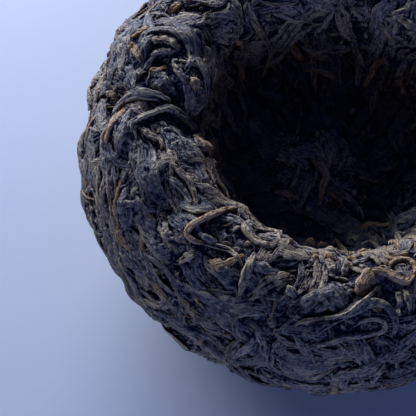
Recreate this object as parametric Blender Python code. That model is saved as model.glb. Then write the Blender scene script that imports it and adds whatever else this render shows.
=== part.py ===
"""Pu-erh tuocha: tea leaves steamed in a cloth bag and pressed into one nest-shaped cake.

The cake stands on its dome with the hollow upwards. The model is in metres, +Z up, and its origin is the
centre of the small flat spot that the dome rests on. The cake is one solid: a core with the uneven form
of the pressed bag, and the largest of the twisted leaves that lie half sunk in its surface.
"""

import math
import random

import bmesh
import bpy
import numpy as np

MM = 0.001

# The cake, as a 100 g tuocha measures.
CAKE_RADIUS = 39.4 * MM
CAKE_HEIGHT = 41.3 * MM
FOOT_RADIUS = 9.0 * MM
BELLY_HEIGHT = 25.7 * MM
RIM_RADIUS = 28.7 * MM
MOUTH_RADIUS = 20.8 * MM
MOUTH_HEIGHT = 34.3 * MM
FLOOR_HEIGHT = 16.6 * MM
# How far the dome's lowest ring lies below the table, which trims it to the flat spot.
FOOT_SINK = 0.25 * MM

# The folds that the bag's gathered cloth leaves across the rim: azimuth in degrees, depth, half width.
# The last one has a negative depth: it is the swell that the cloth let out beside the deepest fold.
BAG_FOLDS = (
    (189, 1.3 * MM, 2.6 * MM),
    (222, 0.8 * MM, 3.0 * MM),
    (263, 0.7 * MM, 2.4 * MM),
    (310, 0.9 * MM, 3.2 * MM),
    (348, 0.6 * MM, 2.6 * MM),
    (31, 1.0 * MM, 3.0 * MM),
    (78, 0.7 * MM, 2.6 * MM),
    (128, 0.9 * MM, 2.8 * MM),
    (171, -1.1 * MM, 6.5 * MM),
)
# The folds run aslant by this many degrees for each length of lean, and die out this far from the crest.
FOLD_LEAN = 8.0
LEAN_LENGTH = 20 * MM
FOLD_REACH = 17 * MM
# The cake's lean from a true circle: number of lobes, height, azimuth of the first lobe in degrees.
LOBES = ((2, 0.34 * MM, 60.0), (3, 0.37 * MM, 190.0), (5, 0.12 * MM, 50.0))
# The crags of the pressed surface: waves round the cake, half waves along the meridian, height, phase.
CRAGS = (
    (11, 14, 0.22 * MM, 0.4),
    (17, 24, 0.24 * MM, 2.1),
    (23, 10, 0.20 * MM, 4.0),
    (8, 32, 0.22 * MM, 5.2),
)
# The unevenness fades in between these radii, so that the poles and the flat spot stay true.
FADE_IN = (2 * MM, 14 * MM)

OUTLINE_STEPS = 60
CORE_COLUMNS = 54
CORE_ROWS = 24
# The core's first ring, on the flat spot, as a share of its radius, and its last ring's distance from the centre.
FIRST_RING = 0.72
LAST_RING = 2.5 * MM

# The leaves that show, spread over the whole skin.
LEAF_COUNT = 90
LEAF_STATIONS = 5
LEAF_LENGTH = (9.0 * MM, 19.0 * MM)
LEAF_HALF_WIDTH = (0.8 * MM, 1.5 * MM)
LEAF_RISE = (0.45 * MM, 0.85 * MM)
LEAF_DEPTH = 1.1 * MM
LEAF_BEND = 1.5
LEAF_TWIST = 0.45
LEAF_END = 0.55
LEAF_SEED = 33
GOLDEN_ANGLE = math.pi * (3 - math.sqrt(5))
# A leaf's section: sideways as a share of its half width, and up as a share of its rise or, below, its depth.
LEAF_SECTION = ((-1.0, -1.0), (-0.65, 0.8), (0.45, 1.0), (1.0, -1.0))

# The boldest folded leaves of the rim and the hollow. Each is a half width and the points that it runs through,
# as azimuth in degrees and distance from the foot along the meridian in millimetres.
BOLD_LEAVES = (
    (0.7 * MM, ((233, 80.5), (230, 73.0), (232, 70.5), (241, 73.0), (248, 71.5))),
    (0.8 * MM, ((207, 66.5), (210, 63.0), (216, 61.0), (222, 61.0))),
    (0.8 * MM, ((191, 65.0), (188, 70.0), (187, 73.5), (188, 77.0))),
    (0.8 * MM, ((190, 71.0), (196, 69.0), (203, 66.5))),
    (0.8 * MM, ((195, 71.5), (191, 76.0), (189, 83.0), (182, 90.0))),
    (0.8 * MM, ((170, 70.0), (164, 71.0), (162, 74.0), (166, 78.0), (175, 79.0))),
    (0.9 * MM, ((279, 73.0), (282, 76.0), (290, 73.5), (297, 76.0))),
    (0.8 * MM, ((268, 63.5), (277, 64.5), (285, 67.5))),
    (1.0 * MM, ((268, 65.5), (275, 69.5), (284, 71.0), (287, 65.0))),
    (1.2 * MM, ((251, 68.0), (255, 71.5), (261, 73.5))),
    (0.9 * MM, ((274, 54.5), (280, 59.0), (288, 63.5))),
    (0.8 * MM, ((208, 73.5), (216, 75.5), (224, 75.5))),
)

# The block that trims the dome.
TABLE_DEPTH = 10 * MM
TABLE_HALF_WIDTH = 60 * MM

TEA_COLOUR = (0.030, 0.023, 0.019, 1.0)
TEA_ROUGHNESS = 0.75
SMOOTH_ANGLE = 40.0


def quarter(centre, start, end):
    """Points on a quarter ellipse about centre, from start to end, each given as (radius, height)."""
    turns = np.linspace(0, math.pi / 2, OUTLINE_STEPS)[:, None]
    centre = np.array(centre)
    return centre + (np.array(start) - centre) * np.cos(turns) + (np.array(end) - centre) * np.sin(turns)


def turned_outline():
    """The meridian before it is made uneven: foot, dome, rim and hollow, as (radius, height) points."""
    foot = (FOOT_RADIUS, -FOOT_SINK)
    belly = (CAKE_RADIUS, BELLY_HEIGHT)
    crest = (RIM_RADIUS, CAKE_HEIGHT)
    mouth = (MOUTH_RADIUS, MOUTH_HEIGHT)
    floor = (0.0, FLOOR_HEIGHT)
    return np.concatenate([
        np.array([(0.0, -FOOT_SINK)]),
        quarter((FOOT_RADIUS, BELLY_HEIGHT), foot, belly),
        quarter((RIM_RADIUS, BELLY_HEIGHT), belly, crest)[1:],
        quarter((RIM_RADIUS, MOUTH_HEIGHT), crest, mouth)[1:],
        quarter((0.0, MOUTH_HEIGHT), mouth, floor)[1:],
    ])


OUTLINE = turned_outline()
STEP_LENGTHS = np.hypot(*np.diff(OUTLINE, axis=0).T)
OUTLINE_AT = np.concatenate([[0.0], np.cumsum(STEP_LENGTHS)])
MERIDIAN = OUTLINE_AT[-1]
RIM_AT = OUTLINE_AT[np.argmax(OUTLINE[:, 1])]


def smooth_step(low, high, value):
    share = np.clip((value - low) / (high - low), 0, 1)
    return share * share * (3 - 2 * share)


def outline_at(along):
    """Radius, height and outward normal of the turned outline at a distance along the meridian."""
    reach = 0.4 * MM
    radius = np.interp(along, OUTLINE_AT, OUTLINE[:, 0])
    height = np.interp(along, OUTLINE_AT, OUTLINE[:, 1])
    before = np.clip(along - reach, 0, MERIDIAN)
    after = np.clip(along + reach, 0, MERIDIAN)
    run = np.interp(after, OUTLINE_AT, OUTLINE[:, 0]) - np.interp(before, OUTLINE_AT, OUTLINE[:, 0])
    climb = np.interp(after, OUTLINE_AT, OUTLINE[:, 1]) - np.interp(before, OUTLINE_AT, OUTLINE[:, 1])
    size = np.hypot(run, climb)
    return radius, height, climb / size, -run / size


def unevenness(azimuth, along):
    """How far the pressed surface stands out from the turned outline."""
    radius = np.interp(along, OUTLINE_AT, OUTLINE[:, 0])
    out = np.zeros(np.broadcast(azimuth, along).shape)
    for count, rise, first in LOBES:
        out = out + rise * np.cos(count * (azimuth - math.radians(first)))
    for around, over, rise, phase in CRAGS:
        out = out + rise * np.sin(around * azimuth + phase) * np.sin(over * math.pi * along / MERIDIAN + 2 * phase)
    for first, depth, half_width in BAG_FOLDS:
        middle = math.radians(first) + math.radians(FOLD_LEAN) * (along - RIM_AT) / LEAN_LENGTH
        gap = (azimuth - middle + math.pi) % (2 * math.pi) - math.pi
        over_rim = np.exp(-(((along - RIM_AT) / FOLD_REACH) ** 2))
        out = out - depth * over_rim * np.exp(-((gap * radius / half_width) ** 2))
    return out * smooth_step(*FADE_IN, radius)


def surface(azimuth, along, lift=0.0):
    """Points of the cake's skin, lifted along its normal."""
    radius, height, out_radius, out_height = outline_at(along)
    rise = unevenness(azimuth, along) + lift
    from_axis = radius + out_radius * rise
    return np.stack([
        from_axis * np.cos(azimuth),
        from_axis * np.sin(azimuth),
        height + out_height * rise,
    ], axis=-1)


def mesh_object(name, points, faces):
    mesh = bpy.data.meshes.new(name)
    mesh.from_pydata([tuple(point) for point in points], [], faces)
    mesh.update()
    made = bpy.data.objects.new(name, mesh)
    bpy.context.scene.collection.objects.link(made)
    return made


def core():
    """The cake without its leaves: rings of points along the meridian, closed at the foot and at the floor."""
    azimuths = np.arange(CORE_COLUMNS) * 2 * math.pi / CORE_COLUMNS
    alongs = np.linspace(FIRST_RING * FOOT_RADIUS, MERIDIAN - LAST_RING, CORE_ROWS)
    rings = surface(azimuths[None, :], alongs[:, None]).reshape(-1, 3)
    foot = len(rings)
    floor = foot + 1
    points = np.concatenate([rings, [(0, 0, -FOOT_SINK)], [(0, 0, FLOOR_HEIGHT)]])
    faces = []
    for row in range(CORE_ROWS - 1):
        low = row * CORE_COLUMNS
        high = low + CORE_COLUMNS
        for column in range(CORE_COLUMNS):
            beside = (column + 1) % CORE_COLUMNS
            faces.append((low + column, low + beside, high + beside, high + column))
    last = (CORE_ROWS - 1) * CORE_COLUMNS
    for column in range(CORE_COLUMNS):
        beside = (column + 1) % CORE_COLUMNS
        faces.append((foot, beside, column))
        faces.append((floor, last + column, last + beside))
    return mesh_object("tuocha", points, faces)


def leaf(name, route, half_width, rise, twist=0.0):
    """A twisted leaf, half sunk in the core.

    Its section is carried along the route of (azimuth, distance along the meridian) stations. It narrows
    towards both ends, and its top rocks from side to side by the twist, in radians.
    """
    middle = surface(route[:, 0], route[:, 1])
    normal = (surface(route[:, 0], route[:, 1], MM) - middle) / MM
    ahead = np.gradient(middle, axis=0)
    ahead /= np.linalg.norm(ahead, axis=1)[:, None]
    side = np.cross(normal, ahead)
    side /= np.linalg.norm(side, axis=1)[:, None]
    share = np.linspace(0, 1, len(route))
    taper = LEAF_END + (1 - LEAF_END) * np.sqrt(np.sin(math.pi * share))
    rock = twist * np.cos(math.pi * share)
    rings = []
    for across, up in LEAF_SECTION:
        out = -LEAF_DEPTH if up < 0 else up * rise * taper + across * half_width * taper * np.sin(rock)
        sideways = across * half_width * taper
        rings.append(middle + side * sideways[:, None] + normal * np.broadcast_to(out, taper.shape)[:, None])
    points = np.stack(rings, axis=1).reshape(-1, 3)
    sides = len(LEAF_SECTION)
    faces = []
    for station in range(len(route) - 1):
        low = station * sides
        high = low + sides
        for edge in range(sides):
            beside = (edge + 1) % sides
            faces.append((low + edge, high + edge, high + beside, low + beside))
    faces.append(tuple(range(sides)))
    faces.append(tuple(reversed(range(len(points) - sides, len(points)))))
    return mesh_object(name, points, faces)


def free_route(azimuth, along, heading, length, bend):
    """Stations of a leaf that starts at a place, sets off on a heading and bends evenly, in radians."""
    step = length / (LEAF_STATIONS - 1)
    edge = 2 * MM
    route = [(azimuth, along)]
    for _ in range(LEAF_STATIONS - 1):
        radius = max(float(np.interp(along, OUTLINE_AT, OUTLINE[:, 0])), edge)
        azimuth += step * math.cos(heading) / radius
        along = min(max(along + step * math.sin(heading), edge), MERIDIAN - edge)
        heading += bend / (LEAF_STATIONS - 1)
        route.append((azimuth, along))
    return np.array(route)


def bold_route(corners):
    """Stations evenly spaced along a smooth curve through the corners of a bold leaf."""
    corners = np.array(corners) * (math.radians(1), MM)
    ends = np.concatenate([[2 * corners[0] - corners[1]], corners, [2 * corners[-1] - corners[-2]]])
    share = np.linspace(0, len(corners) - 1, 2 * len(corners) - 1)
    first = np.minimum(share.astype(int), len(corners) - 2)
    t = (share - first)[:, None]
    before, start, end, after = (ends[first + offset] for offset in range(4))
    return 0.5 * (
        2 * start + (end - before) * t + (2 * before - 5 * start + 4 * end - after) * t**2
        + (3 * start - before - 3 * end + after) * t**3
    )


def scattered_leaves():
    """Leaves spread evenly over the skin: equal steps of area along the meridian, golden angles round it."""
    draw = random.Random(LEAF_SEED)
    alongs = np.linspace(0, MERIDIAN, 400)
    area = np.cumsum(np.interp(alongs, OUTLINE_AT, OUTLINE[:, 0]))
    area /= area[-1]
    made = []
    for number in range(LEAF_COUNT):
        along = float(np.interp((number + 0.5) / LEAF_COUNT, area, alongs))
        azimuth = number * GOLDEN_ANGLE + draw.uniform(-0.06, 0.06)
        heading = draw.uniform(0, 2 * math.pi)
        length = draw.uniform(*LEAF_LENGTH)
        bend = draw.uniform(-LEAF_BEND, LEAF_BEND)
        route = free_route(azimuth, along, heading, length, bend)
        half_width = draw.uniform(*LEAF_HALF_WIDTH)
        rise = draw.uniform(*LEAF_RISE)
        twist = draw.uniform(-LEAF_TWIST, LEAF_TWIST)
        made.append(leaf(f"leaf_{number:03d}", route, half_width, rise, twist))
    return made


def bold_leaves():
    rise = LEAF_RISE[1]
    return [
        leaf(f"bold_leaf_{number:02d}", bold_route(corners), half_width, rise)
        for number, (half_width, corners) in enumerate(BOLD_LEAVES)
    ]


def table():
    """The block that trims the dome flat where it rests."""
    wide = TABLE_HALF_WIDTH
    square = ((-wide, -wide), (wide, -wide), (wide, wide), (-wide, wide))
    corners = [(x, y, z) for z in (-TABLE_DEPTH, 0.0) for x, y in square]
    faces = [(0, 3, 2, 1), (4, 5, 6, 7), (0, 1, 5, 4), (1, 2, 6, 5), (2, 3, 7, 6), (3, 0, 4, 7)]
    return mesh_object("table", corners, faces)


def apply_boolean(target, operation, cutter=None, collection=None):
    modifier = target.modifiers.new("join", "BOOLEAN")
    modifier.operation = operation
    modifier.solver = "MANIFOLD"
    if collection is None:
        modifier.object = cutter
    else:
        modifier.operand_type = "COLLECTION"
        modifier.collection = collection
    with bpy.context.temp_override(object=target, active_object=target):
        bpy.ops.object.modifier_apply(modifier=modifier.name)


def keep_largest_body(piece):
    """Drops the scraps that joining leaves loose, and the shells of hollows that it seals.

    A body is what can be reached from face to face over shared edges.
    """
    shape = bmesh.new()
    shape.from_mesh(piece.data)
    unseen = set(shape.faces)
    bodies = []
    while unseen:
        front = [unseen.pop()]
        body = set(front)
        while front:
            face = front.pop()
            beside = {near for edge in face.edges for near in edge.link_faces} & unseen
            unseen -= beside
            body |= beside
            front.extend(beside)
        bodies.append(body)
    bodies.sort(key=len)
    for scrap in bodies[:-1]:
        bmesh.ops.delete(shape, geom=list(scrap), context="FACES")
    shape.to_mesh(piece.data)
    shape.free()


def tea_material():
    """Fermented leaf: near black brown, dull, with no metal."""
    material = bpy.data.materials.new("pressed_tea")
    material.use_nodes = True
    shader = material.node_tree.nodes["Principled BSDF"]
    shader.inputs["Base Color"].default_value = TEA_COLOUR
    shader.inputs["Roughness"].default_value = TEA_ROUGHNESS
    shader.inputs["Metallic"].default_value = 0.0
    material.diffuse_color = TEA_COLOUR
    return material


def main():
    for old in list(bpy.data.objects):
        bpy.data.objects.remove(old)
    cake = core()
    leaves = bpy.data.collections.new("leaves")
    for piece in [*scattered_leaves(), *bold_leaves()]:
        bpy.context.scene.collection.objects.unlink(piece)
        leaves.objects.link(piece)
    apply_boolean(cake, "UNION", collection=leaves)
    trimmer = table()
    apply_boolean(cake, "DIFFERENCE", cutter=trimmer)
    for helper in [*leaves.objects, trimmer]:
        bpy.data.objects.remove(helper)
    bpy.data.collections.remove(leaves)
    keep_largest_body(cake)
    cake.data.materials.clear()
    cake.data.materials.append(tea_material())
    cake.data.shade_smooth()
    cake.data.set_sharp_from_angle(angle=math.radians(SMOOTH_ANGLE))


main()
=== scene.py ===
"""Pu-erh tuocha: the pressed leaves, golden buds and soft daylight of a nest-shaped tea cake.

The cake is laid up as the tea is pressed. Leaves are dealt out in layers over the cake's own form. Each
leaf lies on the pile that is already under it, and the press squeezes the pile to the form of the bag. So
the last leaves lie over and across the earlier ones, with dark gaps between them, which the leaves' colour
paints darker still as painted shade.
"""

import functools
import math
from dataclasses import dataclass, replace

import bpy
import numpy as np
from bpy.props import FloatProperty, FloatVectorProperty, IntProperty, PointerProperty
from mathutils import Matrix, Vector
from mathutils.bvhtree import BVHTree


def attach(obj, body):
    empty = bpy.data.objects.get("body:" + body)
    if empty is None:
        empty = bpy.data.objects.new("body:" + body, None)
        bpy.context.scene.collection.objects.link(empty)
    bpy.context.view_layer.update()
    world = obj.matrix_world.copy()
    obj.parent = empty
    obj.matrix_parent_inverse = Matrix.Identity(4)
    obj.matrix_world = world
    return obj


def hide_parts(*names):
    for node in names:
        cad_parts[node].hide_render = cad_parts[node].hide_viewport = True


bl_info = {
    "name": "Pressed tea cake",
    "version": (1, 0, 0),
    "blender": (4, 5, 0),
    "location": "3D View > Sidebar > Tea cake",
    "description": "Lays up a nest-shaped cake of pressed tea leaves on its measured frame",
    "category": "Add Mesh",
}

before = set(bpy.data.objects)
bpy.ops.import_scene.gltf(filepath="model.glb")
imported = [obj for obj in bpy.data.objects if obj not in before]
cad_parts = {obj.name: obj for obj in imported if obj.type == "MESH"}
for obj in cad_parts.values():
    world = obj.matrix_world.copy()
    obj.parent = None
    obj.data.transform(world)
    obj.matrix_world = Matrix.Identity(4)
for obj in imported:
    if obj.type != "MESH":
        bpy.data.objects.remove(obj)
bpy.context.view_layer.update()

MM = 0.001
TURN = 2 * math.pi
GOLDEN_ANGLE = math.pi * (3 - math.sqrt(5))
BODY = "root"
NODE = "tuocha"
DARK_SLOT = "pressed_tea"
GOLDEN_SLOT = "golden_leaf"

# The folds that the bag's gathered cloth leaves across the rim: azimuth in degrees, depth, half width.
# The last one has a negative depth: it is the swell that the cloth let out beside the deepest fold.
BAG_FOLDS = (
    (189, 1.3 * MM, 2.6 * MM),
    (222, 0.8 * MM, 3.0 * MM),
    (263, 0.7 * MM, 2.4 * MM),
    (310, 0.9 * MM, 3.2 * MM),
    (348, 0.6 * MM, 2.6 * MM),
    (31, 1.0 * MM, 3.0 * MM),
    (78, 0.7 * MM, 2.6 * MM),
    (128, 0.9 * MM, 2.8 * MM),
    (171, -1.1 * MM, 6.5 * MM),
)
# The folds run aslant by this many degrees for each length of lean, and die out this far from the crest.
FOLD_LEAN = 8.0
LEAN_LENGTH = 20 * MM
FOLD_REACH = 17 * MM
# The cake's lean from a true circle: number of lobes, height, azimuth of the first lobe in degrees.
LOBES = ((1, 0.35 * MM, 155.0), (2, 0.34 * MM, 60.0), (3, 0.37 * MM, 190.0), (5, 0.12 * MM, 50.0))
# The crags of the pressed surface: waves round the cake, half waves along the meridian, height, phase.
CRAGS = (
    (11, 14, 0.22 * MM, 0.4),
    (17, 24, 0.24 * MM, 2.1),
    (23, 10, 0.20 * MM, 4.0),
    (8, 32, 0.22 * MM, 5.2),
)
# Between these radii the unevenness grows from nothing to its full height.
FADE_IN = (2 * MM, 14 * MM)
# How far the turned outline runs under the table, which flattens it to a foot.
FOOT_SINK = 0.25 * MM

# The camera: the photograph's side in pixels, the rise over the table and the roll in degrees, the
# distance, the focal length in pixels, and a point in the cake with the pixel at which it shows.
PHOTO_SIDE = 416
CAMERA_RISE = 64.3
CAMERA_ROLL = -8.1
CAMERA_DISTANCE = 165 * MM
CAMERA_FOCUS = 998.0
AIM = (0.0, 0.0, 25 * MM)
AIM_PIXEL = (325.6, 155.3)

# The lights: azimuth and rise in degrees, distance, width and height in metres, power in watts.
WINDOW_LIGHT = (123, 23, 0.40, 0.46, 0.16, 3.80)
FILL_LIGHT = (275, 17, 0.40, 0.20, 0.06, 0.56)
OVERHEAD_LIGHT = (0, 85, 0.40, 0.20, 0.20, 0.10)
SKY_STRENGTH = 0.004
# How far the table top reaches each way from the cake.
TABLE_REACH = 2.5


def linear(code):
    """An sRGB hex colour as linear red, green, blue and a full alpha."""
    parts = (int(code[at : at + 2], 16) / 255 for at in (1, 3, 5))
    straight = (part / 12.92 if part <= 0.04045 else ((part + 0.055) / 1.055) ** 2.4 for part in parts)
    return *straight, 1.0


def length_prop(name, description, size):
    """A length that the panel shows in the scene's own unit."""
    return FloatProperty(name=name, description=description, default=size, unit="LENGTH", precision=5)


def colour_prop(name, description, code):
    """A colour from its sRGB hex code."""
    return FloatVectorProperty(
        name=name, description=description, default=linear(code), size=4, subtype="COLOR", min=0, max=1
    )


class TEA_PG_form(bpy.types.PropertyGroup):
    """The turned form of the cake."""

    cake_radius: length_prop("Cake radius", "From the axis to the belly", 39.85 * MM)
    cake_height: length_prop("Cake height", "From the table to the rim's crest", 41.3 * MM)
    foot_radius: length_prop("Foot radius", "The flat spot that the dome rests on", 9.0 * MM)
    belly_height: length_prop("Belly height", "Where the cake is widest", 25.7 * MM)
    rim_radius: length_prop("Rim radius", "From the axis to the rim's crest", 28.7 * MM)
    mouth_radius: length_prop("Mouth radius", "From the axis to the hollow's wall", 20.8 * MM)
    mouth_height: length_prop("Mouth height", "Where the hollow's wall stands upright", 34.3 * MM)
    floor_height: length_prop("Floor height", "From the table to the hollow's floor", 16.6 * MM)


class TEA_PG_press(bpy.types.PropertyGroup):
    """How the leaves are dealt out and pressed."""

    seed: IntProperty(name="Seed", description="Which draw of leaves is laid up", default=11)
    layers: IntProperty(name="Layers", description="How many times leaves are dealt out", default=8)
    bed: length_prop("Bed", "How far under the cake's skin the first leaves are laid", 0.90 * MM)
    squeeze: length_prop("Squeeze", "How far over its mean surface the bag lets a leaf stand", 0.24 * MM)


class TEA_PG_colours(bpy.types.PropertyGroup):
    """The colours of the tea, the table and the daylight."""

    # The groove colour is painted shade: the blue-black that the grooves and the leaves down in the pile
    # are painted with.
    groove_shade: colour_prop("Groove", "Fermented leaf down in its grooves", "#0f132a")
    leaf: colour_prop("Leaf", "Fermented leaf", "#9c9287")
    leaf_brown: colour_prop("Brown leaf", "The browner leaves among them", "#ac8e66")
    # The ridge colour is painted on crests and edges: partly wear, partly painted highlight.
    ridge: colour_prop("Ridge", "Leaf worn pale on its ridges", "#bfa880")
    golden: colour_prop("Golden bud", "Buds and young stalks", "#ae7e4e")
    # The pale bud colour is painted on the buds' crests: partly their own paler down, partly painted
    # highlight.
    golden_pale: colour_prop("Pale bud", "The lightest side of a bud", "#cdab80")
    tinge: colour_prop("Tinge", "The brown tinge that lies in patches over the leaves", "#8c6f48")
    table: colour_prop("Table", "The pale table top", "#e2e3e2")
    sky: colour_prop("Sky", "The blue daylight from overhead", "#4270ff")
    fill: colour_prop("Fill", "The daylight that the room gives back", "#879ef0")
    window: colour_prop("Window", "The daylight from the window", "#c8d6f9")


# The cake's form


def quarter(centre, start, end, steps=120):
    """Points on a quarter ellipse about centre: centre + (start - centre) cos t + (end - centre) sin t."""
    turns = np.linspace(0, math.pi / 2, steps)[:, None]
    centre = np.array(centre)
    return centre + (np.array(start) - centre) * np.cos(turns) + (np.array(end) - centre) * np.sin(turns)


def smooth_step(low, high, value):
    """0 up to low, 1 from high on, and 3 t^2 - 2 t^3 between them."""
    share = np.clip((value - low) / (high - low), 0, 1)
    return share * share * (3 - 2 * share)


class Skin:
    """The cake's surface: a turned outline made uneven by the bag that it was pressed in.

    A place on it is an azimuth, in radians, and a distance from the foot's centre along the meridian.
    """

    # The outline is read in these steps, and its slope over this far each way.
    table_step = 0.1 * MM
    normal_reach = 0.4 * MM
    # Nearer than this to a pole, the skin counts as a flat disc.
    pole_zone = 8 * MM
    # How softly the table bends what it flattens.
    flat_softness = 0.07 * MM

    def __init__(self, form):
        foot = (form.foot_radius, -FOOT_SINK)
        belly = (form.cake_radius, form.belly_height)
        crest = (form.rim_radius, form.cake_height)
        mouth = (form.mouth_radius, form.mouth_height)
        outline = np.concatenate([
            [(0.0, -FOOT_SINK)],
            quarter((form.foot_radius, form.belly_height), foot, belly),
            quarter((form.rim_radius, form.belly_height), belly, crest)[1:],
            quarter((form.rim_radius, form.mouth_height), crest, mouth)[1:],
            quarter((0.0, form.mouth_height), mouth, (0.0, form.floor_height))[1:],
        ])
        distance = np.concatenate([[0.0], np.cumsum(np.hypot(*np.diff(outline, axis=0).T))])
        self.meridian = distance[-1]
        self.rim_at = distance[np.argmax(outline[:, 1])]
        self.at = np.linspace(0, self.meridian, round(self.meridian / self.table_step))
        self.radii = np.interp(self.at, distance, outline[:, 0])
        self.heights = np.interp(self.at, distance, outline[:, 1])
        before = np.clip(self.at - self.normal_reach, 0, self.meridian)
        after = np.clip(self.at + self.normal_reach, 0, self.meridian)
        run = np.interp(after, distance, outline[:, 0]) - np.interp(before, distance, outline[:, 0])
        climb = np.interp(after, distance, outline[:, 1]) - np.interp(before, distance, outline[:, 1])
        size = np.hypot(run, climb)
        self.runs = run / size
        self.climbs = climb / size

    def radius(self, along):
        """How far the outline is from the axis."""
        return np.interp(along, self.at, self.radii)

    def run(self, along):
        """How fast the radius grows along the meridian."""
        return np.interp(along, self.at, self.runs)

    def unevenness(self, azimuth, along):
        """How far the skin stands out from the turned outline: lobes, crags and the bag's folds together.

        Lobes and crags are sine waves round the cake. A fold is a bell curve across its own middle line.
        """
        radius = self.radius(along)
        out = 0.0
        for count, rise, first in LOBES:
            out = out + rise * np.cos(count * (azimuth - math.radians(first)))
        for around, over, rise, phase in CRAGS:
            over_wave = np.sin(over * math.pi * along / self.meridian + 2 * phase)
            out = out + rise * np.sin(around * azimuth + phase) * over_wave
        for first, depth, half_width in BAG_FOLDS:
            middle = math.radians(first) + math.radians(FOLD_LEAN) * (along - self.rim_at) / LEAN_LENGTH
            gap = (azimuth - middle + math.pi) % TURN - math.pi
            over_rim = np.exp(-(((along - self.rim_at) / FOLD_REACH) ** 2))
            out = out - depth * over_rim * np.exp(-((gap * radius / half_width) ** 2))
        return out * smooth_step(*FADE_IN, radius)

    def points(self, azimuth, along, lift=0.0):
        """Points over the skin: the outline's point plus (unevenness + lift) times its normal.

        A point that would come out below the table is flattened softly onto it, which keeps the order of
        the leaves under the foot.
        """
        rise = self.unevenness(azimuth, along) + lift
        from_axis = self.radius(along) + np.interp(along, self.at, self.climbs) * rise
        height = np.interp(along, self.at, self.heights) - self.run(along) * rise
        flattened = self.flat_softness * np.logaddexp(0, height / self.flat_softness)
        point = from_axis * np.cos(azimuth), from_axis * np.sin(azimuth), flattened
        return np.stack(np.broadcast_arrays(*point), axis=-1)

    def move(self, azimuth, along, sideways, onward):
        """The place reached by going sideways, round the cake, and onward, along the meridian.

        Away from the poles the azimuth grows by sideways over the radius. Near a pole the skin is a flat
        disc, and the step is a straight one across it, also past the pole.
        """
        radius = np.maximum(self.radius(along), self.pole_zone / 2)
        turned = sideways / radius
        reached = along + onward
        foot_turn = np.arctan2(sideways, along + onward)
        foot_reach = np.hypot(sideways, along + onward)
        to_floor = self.meridian - along
        floor_turn = np.arctan2(sideways, to_floor - onward)
        floor_reach = self.meridian - np.hypot(sideways, to_floor - onward)
        near_foot = along < self.pole_zone
        near_floor = to_floor < self.pole_zone
        turned = np.where(near_foot, foot_turn, np.where(near_floor, floor_turn, turned))
        reached = np.where(near_foot, foot_reach, np.where(near_floor, floor_reach, reached))
        return azimuth + turned, np.clip(reached, 0, self.meridian)


class PressMap:
    """How high the pile of leaves stands over each small cell of the skin.

    The cells lie in rings round the cake, each about as wide as it is high.
    """

    cell = 0.3 * MM
    # The mean height round a cell is read on rings of these radii.
    rings = (0.6 * MM, 1.2 * MM)

    def __init__(self, skin, bed):
        self.rows = math.ceil(skin.meridian / self.cell)
        middles = (np.arange(self.rows) + 0.5) * self.cell
        self.columns = np.maximum(np.ceil(TURN * skin.radius(middles) / self.cell), 6).astype(int)
        self.first = np.concatenate([[0], np.cumsum(self.columns)[:-1]])
        self.height = np.full(self.columns.sum(), -bed)

    def cells(self, azimuth, along):
        """The number of the cell at each place."""
        row = np.clip((along / self.cell).astype(int), 0, self.rows - 1)
        column = ((azimuth / TURN) % 1 * self.columns[row]).astype(int)
        return self.first[row] + np.minimum(column, self.columns[row] - 1)

    def under(self, azimuth, along):
        """The pile's height at each place."""
        return self.height[self.cells(azimuth, along)]

    def lay(self, azimuth, along, top):
        """Raises each place's cell to the top of what is laid there."""
        np.maximum.at(self.height, self.cells(azimuth, along), top)

    def level_off(self, skin):
        """Finds the mean height of the finished pile round each cell, from six places on each ring."""
        row = np.repeat(np.arange(self.rows), self.columns)
        azimuth = TURN * (np.arange(len(row)) - self.first[row] + 0.5) / self.columns[row]
        along = (row + 0.5) * self.cell
        turns = np.linspace(0, TURN, 6, endpoint=False)
        reach = np.repeat(self.rings, len(turns))
        turns = np.tile(turns, len(self.rings))
        places = skin.move(azimuth[:, None], along[:, None], reach * np.cos(turns), reach * np.sin(turns))
        self.level = self.under(*places).mean(axis=-1)

    def mean_round(self, azimuth, along):
        """The finished pile's mean height round each place."""
        return self.level[self.cells(azimuth, along)]


# The leaves


@dataclass(frozen=True)
class Kind:
    """One kind of leaf: how many are dealt, how large, how bent, and how its section is made.

    A route turns by bend over its whole length and by wiggle at each station, in radians. A bundle is the
    most leaves that lie side by side. Relief is the height of the wrinkles, twist the slope that a leaf's
    top rocks to, and end_share how wide its ends are. The kind is dealt from first_layer to last_layer, as
    shares of all layers. Stand is how much further than others its leaves may stand out of the cake.
    """

    count: int
    stations: int
    top_points: int
    length: tuple
    half_width: tuple
    thickness: tuple
    bend: float
    wiggle: float
    bundle: int
    relief: float
    twist: float
    end_share: float
    first_layer: float = 0.0
    last_layer: float = 1.0
    stand: float = 0.0
    slot: str = DARK_SLOT


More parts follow.
